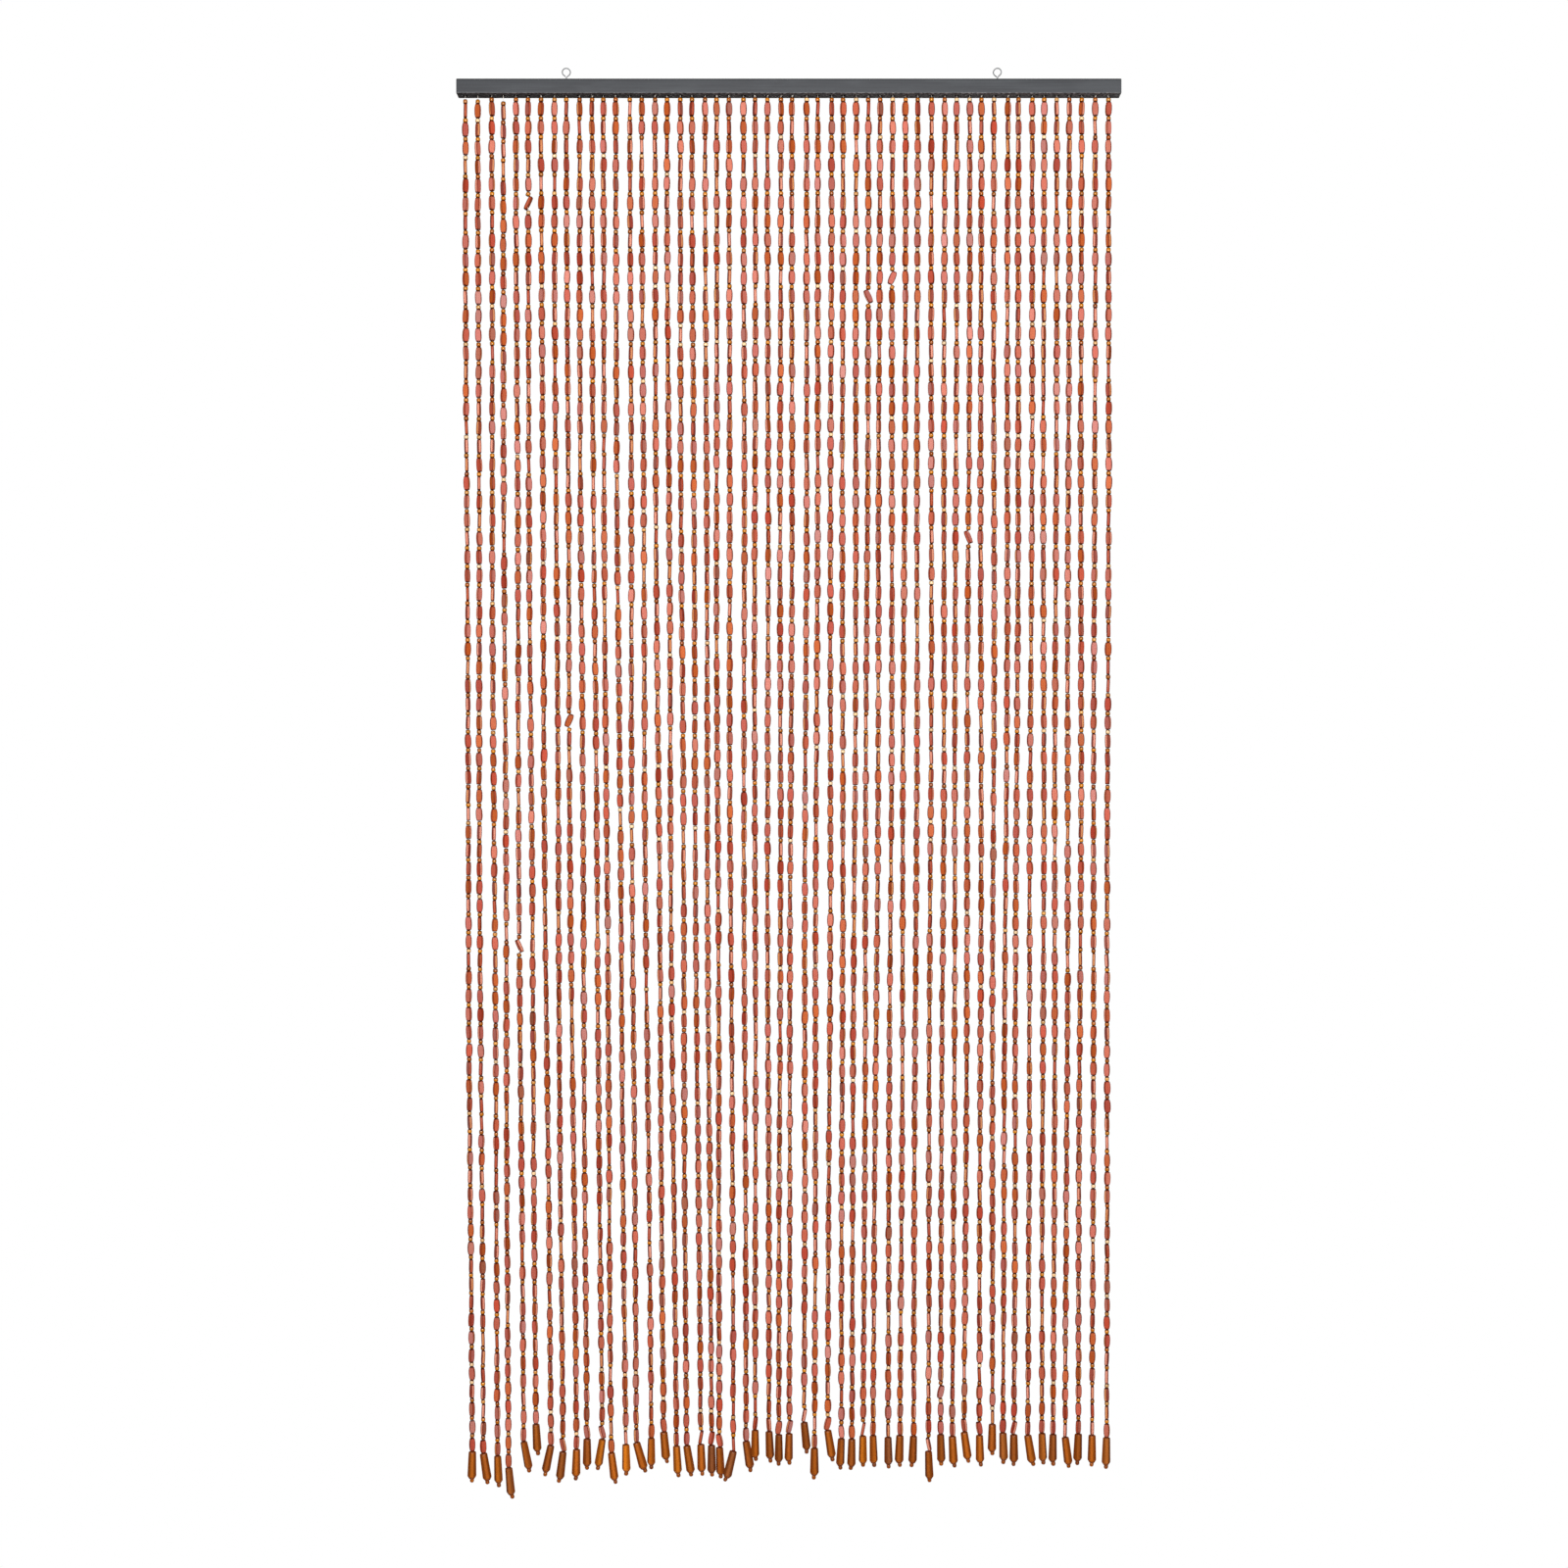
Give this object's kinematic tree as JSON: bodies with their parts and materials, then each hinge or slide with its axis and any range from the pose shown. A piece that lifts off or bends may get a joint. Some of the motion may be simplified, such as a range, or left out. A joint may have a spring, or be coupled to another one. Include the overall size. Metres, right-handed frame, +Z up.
{
  "type": "bead curtain with rail",
  "caption": "Doorway bead curtain: a painted wooden rail with two screw eyes and a row of hanging strands of flat oval wooden beads, each ended by a long turned bead.",
  "frame": {"origin": "centre of the rail's top face", "axes": "+X along the rail, to the right seen from the front; +Z up, the strands hang down along -Z; the front faces -Y and +Y points out of the rail's back"},
  "size_m": [0.9, 0.0266, 1.9432],
  "materials": {
    "rail_paint": "satin paint over straight-grained wood",
    "zinc_wire": "plain zinc-plated wire",
    "bead_wood": "stained red-brown, satin lacquer",
    "end_wood": "stained golden brown, glossy lacquer",
    "spacer_wood": "amber, glossy lacquer",
    "cord_fibre": "thin white twisted cord"
  },
  "bodies": {
    "root": {"rail": "rail_paint", "eye_left": "zinc_wire", "eye_right": "zinc_wire", "strands": "bead_wood", "end_bead_01": "end_wood", "end_bead_02": "end_wood", "end_bead_03": "end_wood", "end_bead_04": "end_wood", "end_bead_05": "end_wood", "end_bead_06": "end_wood", "end_bead_07": "end_wood", "end_bead_08": "end_wood", "end_bead_09": "end_wood", "end_bead_10": "end_wood", "end_bead_11": "end_wood", "end_bead_12": "end_wood", "end_bead_13": "end_wood", "end_bead_14": "end_wood", "end_bead_15": "end_wood", "end_bead_16": "end_wood", "end_bead_17": "end_wood", "end_bead_18": "end_wood", "end_bead_19": "end_wood", "end_bead_20": "end_wood", "end_bead_21": "end_wood", "end_bead_22": "end_wood", "end_bead_23": "end_wood", "end_bead_24": "end_wood", "end_bead_25": "end_wood", "end_bead_26": "end_wood", "end_bead_27": "end_wood", "end_bead_28": "end_wood", "end_bead_29": "end_wood", "end_bead_30": "end_wood", "end_bead_31": "end_wood", "end_bead_32": "end_wood", "end_bead_33": "end_wood", "end_bead_34": "end_wood", "end_bead_35": "end_wood", "end_bead_36": "end_wood", "end_bead_37": "end_wood", "end_bead_38": "end_wood", "end_bead_39": "end_wood", "end_bead_40": "end_wood", "end_bead_41": "end_wood", "end_bead_42": "end_wood", "end_bead_43": "end_wood", "end_bead_44": "end_wood", "end_bead_45": "end_wood", "end_bead_46": "end_wood", "end_bead_47": "end_wood", "end_bead_48": "end_wood", "end_bead_49": "end_wood", "end_bead_50": "end_wood", "end_bead_51": "end_wood", "end_bead_52": "end_wood"}
  },
  "joints": []
}
